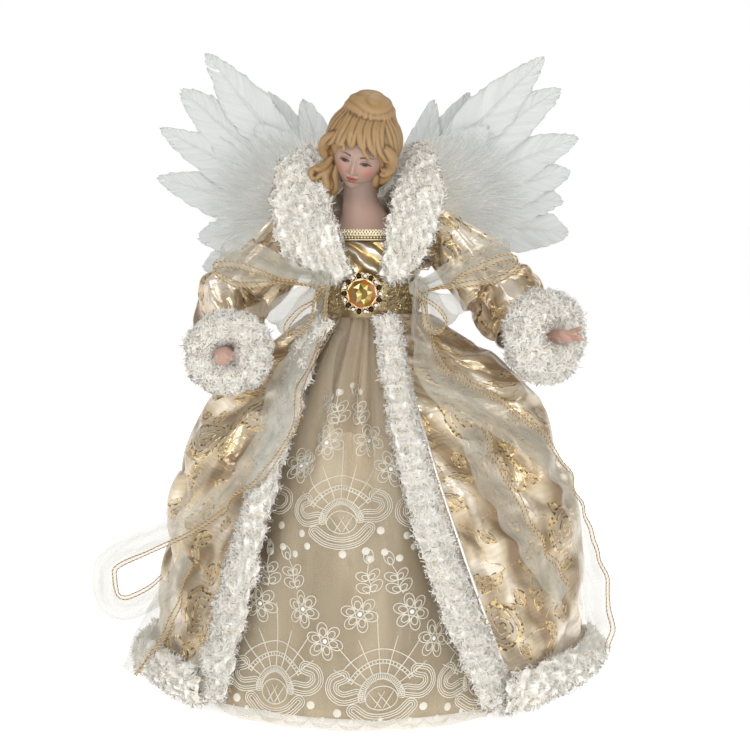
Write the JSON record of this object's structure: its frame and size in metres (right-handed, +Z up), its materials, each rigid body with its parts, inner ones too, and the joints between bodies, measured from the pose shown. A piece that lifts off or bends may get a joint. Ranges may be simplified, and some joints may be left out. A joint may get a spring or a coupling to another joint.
{
  "type": "tree-top angel figurine",
  "caption": "Dressed doll angel on a hollow cone, with a fur-trimmed brocade coat over an organza skirt, ribbon bows, bendable arms and folding feather wings.",
  "frame": {"origin": "on the cone's axis, in the plane of its mouth, where the figure stands or the tree's top shoot goes in", "axes": "+Z up along the cone's axis, -Y the way the figure faces, +X to the figure's own left"},
  "size_m": [0.3062, 0.271, 0.3723],
  "materials": {
    "card": "matte grey-tan card",
    "skin": "matte painted doll casting with golden moulded hair",
    "lame": "gold lame brocade",
    "brocade": "champagne satin brocade with gold flower outlines",
    "satin": "champagne satin lining",
    "organza": "sheer champagne organza with raised embroidery",
    "fur": "white looped faux fur with gold tinsel threads",
    "gold_braid": "metallic gold braid",
    "glitter": "sand-like gold glitter ribbon",
    "brooch_metal": "polished gold-toned metal",
    "amber": "faceted amber glass",
    "rhinestone": "faceted clear stones",
    "ribbon": "sheer white organza ribbon with gold cord edges",
    "feather": "white goose feather and down",
    "wire": "bright steel wire"
  },
  "bodies": {
    "figure": {"support_cone": "card", "underskirt": "satin", "lace_skirt_front": "organza", "coat_skirt": "brocade", "front_fur_trim_left": "fur", "front_fur_trim_right": "fur", "hem_fur_trim": "fur", "torso_form": "card", "bodice_panel": "lame", "coat_bodice": "brocade", "neckline_braid": "gold_braid", "waist_belt": "glitter", "wing_plate": "card", "shoulder_head": "skin", "brooch_cup": "brooch_metal", "brooch_gem": "amber", "brooch_stone_ring": "rhinestone", "fur_collar": "fur", "right_bow_knot": "ribbon", "right_bow_loop_upper": "ribbon", "right_bow_loop_lower": "ribbon", "right_ribbon_tail": "ribbon", "right_ribbon_end": "ribbon", "left_bow_knot": "ribbon", "left_bow_loop_upper": "ribbon", "left_bow_loop_lower": "ribbon", "left_ribbon_tail": "ribbon", "left_ribbon_end": "ribbon"},
    "right_arm": {"right_sleeve": "brocade", "right_arm_wire": "wire", "right_fur_cuff": "fur", "right_hand": "skin"},
    "right_wing": {"right_wing_card": "card", "right_wing_hinge_wire": "wire", "right_wing_down": "feather", "right_wing_covert_1": "feather", "right_wing_covert_2": "feather", "right_wing_covert_3": "feather", "right_wing_flight_1": "feather", "right_wing_flight_2": "feather", "right_wing_flight_3": "feather", "right_wing_flight_4": "feather", "right_wing_flight_5": "feather", "right_wing_flight_6": "feather"},
    "left_arm": {"left_sleeve": "brocade", "left_arm_wire": "wire", "left_fur_cuff": "fur", "left_hand": "skin"},
    "left_wing": {"left_wing_card": "card", "left_wing_hinge_wire": "wire", "left_wing_down": "feather", "left_wing_covert_1": "feather", "left_wing_covert_2": "feather", "left_wing_covert_3": "feather", "left_wing_flight_1": "feather", "left_wing_flight_2": "feather", "left_wing_flight_3": "feather", "left_wing_flight_4": "feather", "left_wing_flight_5": "feather", "left_wing_flight_6": "feather"}
  },
  "joints": [
    {"name": "right_shoulder", "type": "hinge", "parent": "figure", "child": "right_arm", "pos_m": [-0.0453, 0, 0.258], "axis": [0, 1, 0], "range_deg": [-8, 16]},
    {"name": "left_shoulder", "type": "hinge", "parent": "figure", "child": "left_arm", "pos_m": [0.0453, 0, 0.258], "axis": [0, -1, 0], "range_deg": [-8, 16]},
    {"name": "right_wing_hinge", "type": "hinge", "parent": "figure", "child": "right_wing", "pos_m": [-0.012, 0.0281, 0.27], "axis": [0, 0, -1], "range_deg": [0, 30]},
    {"name": "left_wing_hinge", "type": "hinge", "parent": "figure", "child": "left_wing", "pos_m": [0.012, 0.0281, 0.27], "axis": [0, 0, 1], "range_deg": [0, 30]}
  ]
}
